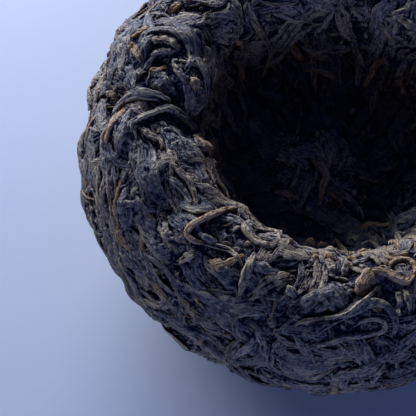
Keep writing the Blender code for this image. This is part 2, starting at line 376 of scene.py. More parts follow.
KINDS = {
    "broad_leaves": Kind(
        count=760, stations=13, top_points=10, length=(6 * MM, 12 * MM), half_width=(1.2 * MM, 2.2 * MM),
        thickness=(0.22 * MM, 0.38 * MM), bend=0.8, wiggle=0.10, bundle=1,
        relief=0.07 * MM, twist=0.10, end_share=0.45,
    ),
    "rolled_leaves": Kind(
        count=560, stations=14, top_points=9, length=(7 * MM, 14 * MM), half_width=(0.65 * MM, 1.05 * MM),
        thickness=(0.35 * MM, 0.60 * MM), bend=1.3, wiggle=0.16, bundle=1,
        relief=0.09 * MM, twist=0.22, end_share=0.20,
    ),
    "swept_leaves": Kind(
        count=620, stations=14, top_points=7, length=(7 * MM, 15 * MM), half_width=(0.45 * MM, 0.80 * MM),
        thickness=(0.32 * MM, 0.55 * MM), bend=1.7, wiggle=0.10, bundle=4,
        relief=0.07 * MM, twist=0.20, end_share=0.18,
    ),
    "leaf_strips": Kind(
        count=1350, stations=10, top_points=5, length=(4 * MM, 9 * MM), half_width=(0.22 * MM, 0.42 * MM),
        thickness=(0.20 * MM, 0.36 * MM), bend=1.6, wiggle=0.22, bundle=2,
        relief=0.06 * MM, twist=0.25, end_share=0.30, first_layer=0.2, last_layer=0.75,
    ),
    "leaf_crumbs": Kind(
        count=4400, stations=4, top_points=4, length=(0.9 * MM, 2.6 * MM),
        half_width=(0.28 * MM, 0.60 * MM), thickness=(0.20 * MM, 0.40 * MM), bend=0.5, wiggle=0.20,
        bundle=1, relief=0.08 * MM, twist=0.40, end_share=0.55, first_layer=0.1, last_layer=0.6,
    ),
    "golden_buds": Kind(
        count=80, stations=14, top_points=7, length=(3 * MM, 8 * MM), half_width=(0.40 * MM, 0.75 * MM),
        thickness=(0.30 * MM, 0.50 * MM), bend=0.9, wiggle=0.16, bundle=1,
        relief=0.07 * MM, twist=0.20, end_share=0.30, first_layer=0.5, slot=GOLDEN_SLOT,
    ),
    "fine_stalks": Kind(
        count=110, stations=12, top_points=4, length=(4 * MM, 11 * MM), half_width=(0.08 * MM, 0.18 * MM),
        thickness=(0.12 * MM, 0.22 * MM), bend=0.9, wiggle=0.14, bundle=1,
        relief=0.02 * MM, twist=0.10, end_share=0.60, first_layer=0.5, slot=GOLDEN_SLOT,
    ),
}
# How many points lie across a leaf's underside, which only the pile touches.
BOTTOM_POINTS = 2
# How many wrinkles lie across each millimetre of a leaf's half width.
WRINKLES = (2.0, 3.0)
# The boldest leaves of the photograph, from the undermost up: tint, width in pixels, thickness in
# millimetres, and the pixels that each one runs through.
BOLD_LEAVES = (
    # The flat leaves under the bold ones
    ("plate", 18, 0.30, ((103, 96), (107, 72), (117, 48), (133, 26), (153, 11))),
    ("plate", 20, 0.30, ((163, 13), (184, 24), (198, 44), (206, 70), (208, 98), (206, 122))),
    ("plate", 18, 0.25, ((116, 60), (126, 76), (134, 94))),
    ("plate", 18, 0.25, ((150, 66), (162, 80), (178, 94))),
    ("plate", 18, 0.30, ((101, 130), (103, 155), (108, 180), (114, 205))),
    ("plate", 30, 0.30, ((168, 122), (182, 146), (197, 168), (208, 190))),
    ("plate", 26, 0.30, ((140, 136), (143, 160), (150, 184), (162, 208))),
    ("plate", 24, 0.30, ((172, 188), (190, 200), (208, 206), (226, 214))),
    ("plate", 28, 0.30, ((130, 196), (142, 222), (160, 246), (180, 262))),
    ("plate", 24, 0.30, ((168, 210), (184, 222), (200, 246), (206, 262))),
    ("plate", 26, 0.30, ((118, 222), (132, 252), (152, 280), (172, 300))),
    ("plate", 26, 0.30, ((170, 282), (196, 300), (222, 318), (246, 336))),
    ("plate", 24, 0.30, ((206, 250), (220, 268), (240, 284), (262, 300))),
    ("plate", 24, 0.30, ((262, 350), (290, 364), (322, 368), (352, 366))),
    # The whorl on the rim, with its chips
    ("dark", 7, 0.70, ((138, 53), (141, 40), (151, 30), (164, 28), (177, 33), (187, 44), (191, 57),
                       (187, 72))),
    ("dark", 8, 0.60, ((143, 57), (144, 44), (152, 35))),
    ("tan", 11, 0.55, ((152, 42), (162, 37), (173, 41), (182, 48))),
    ("dark", 5, 0.60, ((149, 61), (154, 53), (165, 49), (178, 50))),
    ("golden", 5, 0.50, ((147, 66), (158, 67), (168, 62))),
    ("grey", 8, 0.65, ((175, 56), (179, 69), (186, 81))),
    ("grey", 13, 0.50, ((126, 33), (123, 46), (120, 60), (116, 70))),
    ("golden", 8, 0.65, ((129, 42), (135, 50), (142, 60))),
    ("golden", 8, 0.55, ((130, 35), (140, 31), (151, 28))),
    ("golden", 9, 0.70, ((193, 76), (195, 83), (196, 91))),
    ("golden", 8, 0.55, ((169, 9), (180, 2))),
    ("grey", 7, 0.60, ((194, 25), (204, 20), (215, 19), (223, 18))),
    ("dark", 5, 0.50, ((198, 18), (216, 14), (231, 16), (240, 23))),
    # The long strands across the rim, left
    ("tan", 6, 0.55, ((101, 93), (108, 92), (116, 97))),
    ("dark", 7, 0.75, ((102, 124), (114, 112), (126, 101), (142, 97), (157, 98), (172, 101))),
    ("grey", 5, 0.65, ((126, 93), (138, 93), (149, 94), (162, 96), (173, 99))),
    ("dark", 8, 0.75, ((131, 108), (124, 128), (117, 144), (114, 163))),
    ("golden", 8, 0.50, ((125, 107), (119, 117), (111, 127), (103, 144))),
    ("grey", 8, 0.85, ((131, 132), (131, 123), (141, 117), (154, 111), (169, 107), (182, 112), (194, 122),
                       (204, 130))),
    ("tan", 7, 0.70, ((141, 126), (149, 134), (160, 139), (164, 148))),
    ("tan", 5, 0.55, ((188, 161), (200, 160), (209, 165), (214, 176))),
    ("tan", 7, 0.80, ((170, 161), (180, 171), (189, 181), (194, 193), (197, 207))),
    ("dark", 8, 0.60, ((165, 175), (182, 188), (192, 205))),
    ("grey", 12, 0.50, ((158, 216), (163, 230), (175, 245))),
    ("tan", 4, 0.50, ((160, 228), (166, 242), (178, 254))),
    ("golden", 5, 0.55, ((119, 177), (115, 192), (113, 206), (116, 224), (123, 242), (132, 254))),
    ("dark", 9, 0.45, ((125, 182), (122, 200), (123, 219), (129, 238))),
    # The bent strand, the twist beside it and the fair leaf below
    ("tan", 6, 0.65, ((191, 237), (200, 242), (213, 245), (229, 249), (239, 259), (243, 270))),
    ("golden", 7, 0.75, ((239, 206), (223, 210), (204, 218), (192, 225), (187, 234), (194, 241),
                         (204, 243))),
    ("dark", 6, 0.60, ((197, 231), (206, 238), (218, 242))),
    ("tan", 8, 0.70, ((242, 219), (247, 230), (256, 239), (268, 245), (279, 241))),
    ("tan", 8, 0.50, ((175, 264), (187, 257), (199, 250))),
    ("golden", 12, 0.40, ((204, 261), (214, 265), (228, 265))),
    ("golden", 2, 0.20, ((147, 285), (154, 276), (163, 273), (171, 278))),
    # Thin strands along the wall's foot, left
    ("tan", 4, 0.45, ((111, 150), (106, 170), (106, 190), (110, 212), (117, 236), (126, 262))),
    ("tan", 3, 0.40, ((97, 152), (96, 176), (99, 202), (106, 232))),
    ("grey", 4, 0.45, ((101, 160), (101, 184), (105, 212), (115, 246), (128, 276))),
    ("tan", 3, 0.40, ((108, 118), (103, 134), (100, 148))),
    ("tan", 4, 0.40, ((172, 292), (188, 306), (206, 318))),
    ("golden", 4, 0.40, ((190, 292), (200, 304), (206, 314))),
    ("tan", 4, 0.40, ((138, 262), (150, 282), (166, 300), (182, 316))),
    ("tan", 5, 0.50, ((135, 290), (151, 302), (168, 309))),
    ("tan", 4, 0.45, ((127, 276), (142, 299), (161, 321))),
    ("dark", 6, 0.55, ((113, 250), (124, 272), (146, 300), (167, 318))),
    ("golden", 6, 0.45, ((186, 303), (190, 311), (193, 320))),
    # The near wall: the curl, the hairpin with the leaf round it, and what lies about them
    ("golden", 17, 0.60, ((361, 296), (365, 281), (377, 270))),
    ("golden", 8, 0.80, ((372, 270), (387, 272), (397, 278), (407, 282), (415, 275))),
    ("golden", 6, 0.85, ((415, 275), (415, 264), (406, 258), (395, 260), (389, 265))),
    ("grey", 6, 0.85, ((307, 351), (326, 346), (340, 341), (359, 337), (376, 335), (385, 329), (384, 322),
                       (376, 319), (367, 320), (359, 325), (352, 331))),
    ("dark", 11, 0.80, ((310, 340), (331, 324), (350, 312), (369, 303), (383, 304), (392, 312), (397, 326),
                        (395, 343))),
    ("tan", 5, 0.65, ((291, 330), (302, 323), (319, 320), (335, 317), (347, 313), (357, 306), (368, 297),
                      (380, 286))),
    ("tan", 9, 0.65, ((239, 298), (244, 281), (250, 264), (255, 251))),
    ("tan", 17, 0.50, ((247, 300), (262, 288), (280, 279), (297, 275))),
    ("dark", 14, 0.30, ((299, 306), (317, 296), (338, 284))),
    ("grey", 12, 0.55, ((284, 288), (291, 291), (297, 297))),
    ("tan", 8, 0.60, ((326, 257), (331, 264), (335, 272))),
    ("dark", 8, 0.70, ((340, 254), (345, 262), (345, 273))),
    ("golden", 5, 0.55, ((304, 242), (310, 239), (316, 243))),
    ("golden", 6, 0.45, ((313, 249), (316, 254), (318, 258))),
    ("golden", 6, 0.50, ((319, 249), (326, 254), (335, 259))),
    ("golden", 4, 0.50, ((318, 243), (325, 241), (333, 243))),
    ("tan", 7, 0.60, ((321, 247), (329, 248), (338, 252))),
    ("tan", 6, 0.60, ((330, 240), (340, 242), (349, 249))),
    ("golden", 5, 0.55, ((345, 253), (351, 253), (358, 257))),
    ("golden", 4, 0.45, ((356, 249), (366, 248), (377, 249))),
    ("grey", 4, 0.60, ((349, 245), (362, 243), (375, 241), (388, 243))),
    ("tan", 9, 0.60, ((382, 249), (396, 251), (412, 249))),
    ("grey", 8, 0.70, ((388, 241), (397, 236), (404, 232))),
    ("dark", 7, 0.50, ((350, 262), (361, 258), (372, 253))),
    ("dark", 6, 0.65, ((404, 289), (408, 300), (411, 313))),
    ("dark", 6, 0.65, ((398, 291), (400, 303), (398, 316))),
    ("dark", 12, 0.55, ((331, 381), (355, 374), (378, 363), (399, 352))),
    ("tan", 6, 0.50, ((300, 381), (318, 378), (336, 371))),
    ("dark", 9, 0.55, ((254, 330), (262, 345), (266, 367))),
    # The hollow: the leaf on its floor and the strands down its wall
    ("bright", 8, 0.60, ((312, 150), (319, 165), (322, 184), (318, 204))),
    ("bright", 5, 0.45, ((304, 72), (316, 71), (328, 75), (340, 83))),
    ("bright", 3, 0.35, ((372, 8), (377, 21), (387, 35), (393, 51))),
    ("tan", 3, 0.40, ((226, 47), (230, 56), (233, 69))),
    ("grey", 2, 0.30, ((232, 14), (241, 20), (250, 26), (256, 35))),
    ("golden", 5, 0.45, ((239, 42), (243, 46), (246, 49))),
    ("tan", 5, 0.50, ((251, 7), (258, 25), (265, 38), (270, 50), (269, 63), (265, 80))),
    ("golden", 4, 0.40, ((252, 21), (257, 28), (262, 34))),
    ("golden", 9, 0.40, ((243, 60), (243, 72), (244, 83))),
    ("grey", 5, 0.45, ((268, 12), (282, 18), (299, 22), (316, 20))),
    ("tan", 5, 0.45, ((262, 2), (280, 6), (300, 4))),
    ("grey", 5, 0.50, ((312, 36), (322, 30), (330, 20), (335, 9))),
    ("grey", 5, 0.50, ((289, 47), (297, 38), (304, 33), (313, 30))),
    ("tan", 3, 0.40, ((337, 1), (338, 15), (337, 31))),
    ("grey", 4, 0.45, ((338, 35), (345, 38), (352, 45))),
    ("tan", 5, 0.45, ((345, 2), (352, 10), (358, 19))),
    ("grey", 4, 0.50, ((364, 1), (366, 12), (367, 22))),
    ("grey", 4, 0.45, ((376, 11), (390, 14), (402, 10), (414, 7))),
    ("grey", 4, 0.45, ((379, 21), (392, 20), (405, 14))),
    ("tan", 8, 0.55, ((398, 18), (407, 24), (415, 29))),
    ("grey", 5, 0.45, ((300, 44), (307, 51), (320, 53), (332, 48), (338, 42))),
    ("tan", 5, 0.40, ((305, 55), (321, 58), (334, 57))),
    ("bright", 3, 0.35, ((398, 76), (401, 88), (404, 96), (409, 96))),
)
BOLD_KIND = Kind(
    count=len(BOLD_LEAVES), stations=30, top_points=9, length=(0, 0), half_width=(0, 0), thickness=(0, 0),
    bend=0, wiggle=0, bundle=1, relief=0.11 * MM, twist=0.16, end_share=0.30,
    stand=0.40 * MM,
)


@dataclass
class Batch:
    """Leaves on their way through the press: arrays of leaf by station, and of one value for each leaf."""

    azimuth: np.ndarray
    along: np.ndarray
    heading: np.ndarray
    length: np.ndarray
    half_width: np.ndarray
    thickness: np.ndarray
    tone: np.ndarray
    warmth: np.ndarray
    lift: np.ndarray | None = None

    def joined(self, other):
        """These leaves with others after them."""
        return Batch(*(np.concatenate([getattr(self, name), getattr(other, name)]) for name in vars(self)))

    def part(self, chosen):
        """Only the chosen leaves."""
        return Batch(*(getattr(self, name)[chosen] for name in vars(self)))


def resample(rows, shares):
    """Each row read at shares of its length, from 0 to 1, on straight lines between its stations."""
    at = shares * (rows.shape[1] - 1)
    low = np.minimum(at.astype(int), rows.shape[1] - 2)
    before = np.take_along_axis(rows, low, axis=1)
    after = np.take_along_axis(rows, low + 1, axis=1)
    return before + (after - before) * (at - low)


def beside(skin, batch, offset):
    """Places at an offset to the left of each station: one step square to the leaf's heading."""
    azimuth, along, heading = batch.azimuth[..., None], batch.along[..., None], batch.heading[..., None]
    return skin.move(azimuth, along, -np.sin(heading) * offset, np.cos(heading) * offset)


def spread(skin, count, draw):
    """Places spread evenly over the skin: equal steps of area along it, golden angles round it."""
    area = np.cumsum(skin.radii)
    shares = (np.arange(count) + draw.uniform(0, 1, count)) / count
    along = np.interp(shares, area / area[-1], skin.at)
    azimuth = GOLDEN_ANGLE * np.arange(count) + draw.uniform(0, TURN) + draw.normal(0, 0.08, count)
    return azimuth, along


# The swirls of leaves over the rim: strength, waves round the cake, length along the meridian, phase.
SWIRLS = ((1.9, 4, 7 * MM, 0.0), (1.5, 7, -5 * MM, 1.3), (1.2, 2, 13 * MM, 4.0))
# Where the outer wall ends and the hollow begins along the meridian, and the share of leaves that lie round
# the one and upright in the other.
WALL_ENDS = (48 * MM, 66 * MM)
HOLLOW_BEGINS = (82 * MM, 92 * MM)
ROUND_SHARE = 0.8
UPRIGHT_SHARE = 0.6
# How far a leaf strays from the others' heading, in radians.
STRAY = 0.35


def lie(azimuth, along, draw):
    """The headings that leaves take up in the bag.

    On the outer wall they lie mostly round the cake and down the hollow's wall mostly upright. Over the rim
    they follow slow swirls: an angle that is a sum of sine waves over the skin, so neighbours lie alike.
    """
    swirl = sum(
        strength * np.sin(waves * azimuth + along / length + phase)
        for strength, waves, length, phase in SWIRLS
    )
    chance = draw.uniform(0, 1, len(azimuth))
    goes_round = chance < ROUND_SHARE * (1 - smooth_step(*WALL_ENDS, along))
    upright = chance > 1 - UPRIGHT_SHARE * smooth_step(*HOLLOW_BEGINS, along)
    heading = np.where(goes_round, 0.0, np.where(upright, math.pi / 2, swirl))
    return heading + draw.normal(0, STRAY, len(azimuth)) + math.pi * draw.integers(0, 2, len(azimuth))


def walk(skin, azimuth, along, heading, length, turns):
    """Routes over the skin, all at once: at each station a step ahead, then a turn.

    A straight route keeps its heading on the skin, so the heading grows by the radius's growth along the
    meridian times the azimuth passed.
    """
    step = length / turns.shape[1]
    stations = [(azimuth, along, heading)]
    for turn in turns.T:
        reached, onward = skin.move(azimuth, along, step * np.cos(heading), step * np.sin(heading))
        heading = heading + skin.run(along) * (reached - azimuth) + turn
        azimuth, along = reached, onward
        stations.append((azimuth, along, heading))
    return [np.stack(values, axis=1) for values in zip(*stations, strict=True)]


# Painted light and shade along the meridian, in each leaf's tone: painted paler on the mouth's lip, darker
# down the hollow's wall as painted shade, and paler again on its floor. The brownest leaves from the rim's
# crest to the upper wall are painted paler still. All the paler tones here are painted light.
LIP_AT = 86 * MM
LIP_REACH = 9 * MM
LIP_PAINTED_LIGHT = 0.55
WALL_PAINTED_SHADE = (90 * MM, 99 * MM)
FLOOR_LIGHT_SPAN = (106 * MM, 111 * MM)
FLOOR_PAINTED_LIGHT = 1.1
BROWN_LIGHT_WARMTHS = (0.50, 0.65)
BROWN_PAINTED_LIGHT = 0.9
BROWN_BEGINS = (76 * MM, 86 * MM)
BROWN_ENDS = 96 * MM
# The tone of a leaf that is all but black, which only the painted shade down the hollow's wall gives.
DARKEST = -0.4
# How far from the crest the rim's leaves are rubbed brown.
RUBBED_REACH = 16 * MM
# How many half widths apart the leaves of a bundle lie.
BUNDLE_STEP = 1.7


def deal(skin, kind, count, draw):
    """A deal of one kind of leaf. In a bundle, leaves lie side by side along one leader's route.

    A leaf's tone and warmth are drawn, then changed by where its middle lies along the meridian: the tone
    takes painted light and shade, and the warmth grows on the rim's rubbed leaves.
    """
    sizes = draw.integers(1, kind.bundle + 1, count)
    sizes = sizes[: np.searchsorted(np.cumsum(sizes), count) + 1]
    leaders = len(sizes)
    azimuth, along = spread(skin, leaders, draw)
    length = draw.uniform(*kind.length, leaders)
    turns = draw.normal(0, kind.wiggle, (leaders, kind.stations - 1))
    turns += draw.normal(0, kind.bend, leaders)[:, None] / (kind.stations - 1)
    routes = walk(skin, azimuth, along, lie(azimuth, along, draw), length, turns)
    leader = np.repeat(np.arange(leaders), sizes)[:count]
    rank = np.arange(len(leader)) - np.repeat(np.cumsum(sizes) - sizes, sizes)[:count]
    starts = np.where(sizes[leader] > 1, draw.uniform(0, 0.3, count), 0.0)
    ends = np.where(sizes[leader] > 1, draw.uniform(0.7, 1.0, count), 1.0)
    shares = starts[:, None] + (ends - starts)[:, None] * np.linspace(0, 1, kind.stations)
    half_width = draw.uniform(*kind.half_width, leaders)[leader]
    batch = Batch(
        azimuth=resample(routes[0][leader], shares),
        along=resample(routes[1][leader], shares),
        heading=resample(routes[2][leader], shares),
        length=length[leader] * (ends - starts),
        half_width=half_width * draw.uniform(0.8, 1.1, count),
        thickness=draw.uniform(*kind.thickness, count),
        tone=np.clip(draw.normal(0.5, 0.3, count), 0, 1),
        warmth=0.9 * draw.uniform(0, 1, count) ** 1.6,
    )
    middle = batch.along.mean(axis=1)
    painted_light_and_shade = LIP_PAINTED_LIGHT * np.exp(-(((middle - LIP_AT) / LIP_REACH) ** 2)) - smooth_step(*WALL_PAINTED_SHADE, middle)
    painted_light_and_shade += FLOOR_PAINTED_LIGHT * smooth_step(*FLOOR_LIGHT_SPAN, middle)
    brown = smooth_step(*BROWN_LIGHT_WARMTHS, batch.warmth) * (middle < BROWN_ENDS)
    painted_light_and_shade += BROWN_PAINTED_LIGHT * smooth_step(*BROWN_BEGINS, middle) * brown
    batch.tone = np.clip(batch.tone + painted_light_and_shade, DARKEST, 1.1)
    rubbed = np.exp(-(((middle - skin.rim_at) / RUBBED_REACH) ** 2))
    batch.warmth = np.minimum(batch.warmth + 0.3 * rubbed * draw.uniform(0, 1, count), 0.95)
    offset = (rank - (sizes[leader] - 1) / 2) * half_width * BUNDLE_STEP
    moved = beside(skin, batch, offset[:, None, None])
    batch.azimuth, batch.along = moved[0][..., 0], moved[1][..., 0]
    return batch


# The share that the bag leaves of what stands over its limit, and how softly it bends it.
PRESS_GIVE = 0.22
PRESS_SOFTNESS = 0.10 * MM
# How far a leaf sinks into the pile, and how much further its ends are tucked down.
LEAF_SINK = 0.10 * MM
END_TUCK = 0.45 * MM
# A leaf rests on this share of the pile's highest places under it, and else on their mean.
REST_ON_HIGHEST = 0.55
# How many stations along a leaf even out the pile under it.
STIFFNESS = 1.3
# The least share of a leaf's top that shows on a leaf that is kept, and by how much it clears the pile.
LEAST_SHOWN = 0.04
SHOWN_CLEAR = 0.03 * MM
# How far the crumbs between the leaves lie under the pile's mean height.
CRUMB_DEPTH = 0.48 * MM


def crown(across):
    """How high a leaf stands at each share u of its half width: (1 - u^4)^0.6, flat with steep sides."""
    return np.maximum(1 - across**4, 0) ** 0.6


def pressed(lift, limit):
    """A lift after the bag has pressed it: what stands over the limit is cut to a share, softly."""
    over = PRESS_SOFTNESS * np.logaddexp(0, (lift - limit) / PRESS_SOFTNESS)
    return lift - (1 - PRESS_GIVE) * over


def settle(skin, press, batch, limit):
    """Lays leaves on the pile under them, smoothed along each leaf, with their ends tucked down."""
    stations = batch.azimuth.shape[1]
    across = np.linspace(-0.75, 0.75, 5)
    under = press.under(*beside(skin, batch, across * batch.half_width[:, None, None]))
    pile = (1 - REST_ON_HIGHEST) * under.mean(axis=-1) + REST_ON_HIGHEST * under.max(axis=-1)
    gaps = np.arange(stations)[:, None] - np.arange(stations)
    smoothing = np.exp(-((gaps / STIFFNESS) ** 2))
    smoothing /= smoothing.sum(axis=0)
    share = np.linspace(0, 1, stations)
    tuck = END_TUCK * (1 - np.sin(math.pi * share) ** 0.5)
    batch.lift = pressed(pile @ smoothing - LEAF_SINK - tuck, limit)
    press.lay(*tops(skin, batch, limit))


def tops(skin, batch, limit):
    """Close samples over each leaf's top: azimuths, distances along the meridian and heights."""
    stations = 4 * batch.azimuth.shape[1] - 3
    fine = np.broadcast_to(np.linspace(0, 1, stations), (len(batch.length), stations))
    carried = ("azimuth", "along", "heading", "lift")
    rows = {name: resample(getattr(batch, name), fine) for name in carried}
    across = np.linspace(-0.9, 0.9, 9)
    places = beside(skin, replace(batch, **rows), across * batch.half_width[:, None, None])
    top = rows["lift"][..., None] + batch.thickness[:, None, None] * crown(across)
    return *places, pressed(top, limit)


def seen(skin, press, batch, limit):
    """Which leaves still show: neither the finished pile nor the crumbs cover all of their top."""
    azimuth, along, top = tops(skin, batch, limit)
    crumbs = press.mean_round(azimuth, along) - CRUMB_DEPTH
    cover = np.maximum(press.under(azimuth, along) - SHOWN_CLEAR, crumbs)
    return (top > cover).mean(axis=(1, 2)) > LEAST_SHOWN


class Camera:
    """The photograph's camera, rebuilt from its rise, its roll, its distance and its focal length."""

    def __init__(self):
        rise, roll = math.radians(CAMERA_RISE), math.radians(CAMERA_ROLL)
        self.ahead = np.array([0, math.cos(rise), -math.sin(rise)])
        level_up = np.array([0, math.sin(rise), math.cos(rise)])
        level_right = np.array([1.0, 0, 0])
        self.right = level_right * math.cos(roll) - level_up * math.sin(roll)
        self.up = level_right * math.sin(roll) + level_up * math.cos(roll)
        shift_right = (AIM_PIXEL[0] - PHOTO_SIDE / 2) * CAMERA_DISTANCE / CAMERA_FOCUS
        shift_down = (AIM_PIXEL[1] - PHOTO_SIDE / 2) * CAMERA_DISTANCE / CAMERA_FOCUS
        self.place = np.array(AIM) - self.ahead * CAMERA_DISTANCE
        self.place = self.place - self.right * shift_right + self.up * shift_down

    def ray(self, pixel):
        """The direction in which the camera sees a pixel."""
        across = (pixel[0] - PHOTO_SIDE / 2) / CAMERA_FOCUS
        down = (pixel[1] - PHOTO_SIDE / 2) / CAMERA_FOCUS
        return Vector(self.ahead + self.right * across - self.up * down)


def grid_faces(rows, columns):
    """Triangles of a closed band of rings: two for each cell, all facing the same way."""
    row, column = np.meshgrid(np.arange(rows - 1), np.arange(columns), indexing="ij")
    low, beside_low = row * columns + column, row * columns + (column + 1) % columns
    high, beside_high = low + columns, beside_low + columns
    return np.stack([low, beside_low, beside_high, low, beside_high, high], axis=-1).reshape(-1, 3)


def smooth_curve(corners, shares):
    """A Catmull-Rom curve: each span between two corners is a cubic.

    Its slope at a corner is half the step from the corner before it to the corner after it.
    """
    ends = np.concatenate([[2 * corners[0] - corners[1]], corners, [2 * corners[-1] - corners[-2]]])
    at = shares * (len(corners) - 1)
    first = np.minimum(at.astype(int), len(corners) - 2)
    t = (at - first)[:, None]
    before, start, end, after = (ends[first + offset] for offset in range(4))
    return 0.5 * (
        2 * start + (end - before) * t + (2 * before - 5 * start + 4 * end - after) * t**2
        + (3 * start - before - 3 * end + after) * t**3
    )


# The tone and the warmth of each tint. A leaf whose warmth is over 1 is a golden bud.
TINTS = {
    "plate": (0.35, 0.05),
    "dark": (0.55, 0.10),
    "grey": (1.0, 0.35),
    "tan": (0.9, 1.0),
    "golden": (0.7, 1.1),
    "bright": (1.3, 1.1),
}


# The grid that the bold leaves are cast onto: columns and rows, and how far it stops from the poles.
CAST_GRID = (360, 300)
CAST_GAPS = (4 * MM, 1 * MM)
# How much wider a bold leaf is than it looks, as its edges are thin.
BOLD_WIDER = 1.05


def trace_bold_leaves(skin):
    """The bold leaves one by one, cast from the camera through their pixels onto the skin."""
    azimuths = np.linspace(0, TURN, CAST_GRID[0], endpoint=False)
    alongs = np.linspace(CAST_GAPS[0], skin.meridian - CAST_GAPS[1], CAST_GRID[1])
    points = skin.points(azimuths[None, :], alongs[:, None]).reshape(-1, 3)
    tree = BVHTree.FromPolygons(points.tolist(), grid_faces(len(alongs), len(azimuths)).tolist())
    camera = Camera()
    stations = np.linspace(0, 1, BOLD_KIND.stations)
    for tint, width, thickness, pixels in BOLD_LEAVES:
        hits = [tree.ray_cast(Vector(camera.place), camera.ray(pixel)) for pixel in pixels]
        place = np.array([hit[0] for hit in hits])
        depth = np.linalg.norm(place - camera.place, axis=1).mean()
        from_axis = np.hypot(place[:, 0], place[:, 1])
        apart = (skin.radii - from_axis[:, None]) ** 2 + (skin.heights - place[:, 2:]) ** 2
        turned = np.unwrap(np.arctan2(place[:, 1], place[:, 0]))
        corners = np.stack([turned, skin.at[apart.argmin(axis=1)]], axis=1)
        fine = smooth_curve(corners, np.linspace(0, 1, 200))
        steps = np.linalg.norm(np.diff(skin.points(fine[:, 0], fine[:, 1]), axis=0), axis=1)
        passed = np.concatenate([[0], np.cumsum(steps)])
        azimuth = np.interp(stations * passed[-1], passed, fine[:, 0])
        along = np.interp(stations * passed[-1], passed, fine[:, 1])
        heading = np.unwrap(np.arctan2(np.gradient(along), skin.radius(along) * np.gradient(azimuth)))
        half_width = BOLD_WIDER * width / 2 * depth / CAMERA_FOCUS
        values = (azimuth, along, heading, passed[-1], half_width, thickness * MM, *TINTS[tint])
        yield Batch(*(np.array([value]) for value in values))


@functools.cache
def laid_up():
    """Deals and presses every leaf, layer on layer. Returns the skin, the pile and each kind's leaves."""
    settings = bpy.context.scene.tea_press
    skin = Skin(bpy.context.scene.tea_form)
    draw = np.random.default_rng(settings.seed)
    press = PressMap(skin, settings.bed)
    batches = {}
    for layer in range(settings.layers):
        for name, kind in KINDS.items():
            first, last = (round(end * settings.layers) for end in (kind.first_layer, kind.last_layer))
            turns = range(first, last)
            if layer not in turns:
                continue
            batch = deal(skin, kind, math.ceil(kind.count / len(turns)), draw)
            settle(skin, press, batch, settings.squeeze + kind.stand)
            batches[name] = batches[name].joined(batch) if name in batches else batch
    bold = None
    for leaf in trace_bold_leaves(skin):
        settle(skin, press, leaf, settings.squeeze + BOLD_KIND.stand)
        bold = bold.joined(leaf) if bold else leaf
    press.level_off(skin)
    for name, batch in batches.items():
        batches[name] = batch.part(seen(skin, press, batch, settings.squeeze + KINDS[name].stand))
    golden = bold.warmth > 1
    batches["bold_leaves"] = bold.part(~golden)
    batches["bold_buds"] = bold.part(golden)
    return skin, press, batches


def crumple(places, wavelength, draw, waves=20):
    """Bumps with no direction: sine waves over random directions, summed to a usual height of 1."""
    directions = draw.normal(size=(3, waves))
    directions *= TURN / (wavelength * np.linalg.norm(directions, axis=0) * draw.uniform(0.7, 1.5, waves))
    return np.sin(places @ directions + draw.uniform(0, TURN, waves)).sum(axis=-1) / math.sqrt(waves / 2)


# A leaf's underside and its two tips, as shares of its thickness.
UNDERSIDE = -0.5
TIP_HEIGHT = 0.35
# How thick a leaf's narrowest end is, as a share of its thickness.
THIN_END = 0.25
# The size of the bumps on a leaf.
BUMPS = 1.1 * MM
# A point that stands this far over the pile's mean height is well out of its grooves; a lower point is
# painted darker, as painted shade.
STANDS_OUT = 0.33 * MM
# Where across a leaf its edge is painted pale, partly as wear and partly as painted highlight, how far that
# reaches, and where its dark outline, which is painted shade, begins.
WORN_LIT_EDGE_AT = 0.94
WORN_LIT_EDGE_REACH = 0.10
OUTLINE_AT = 0.99


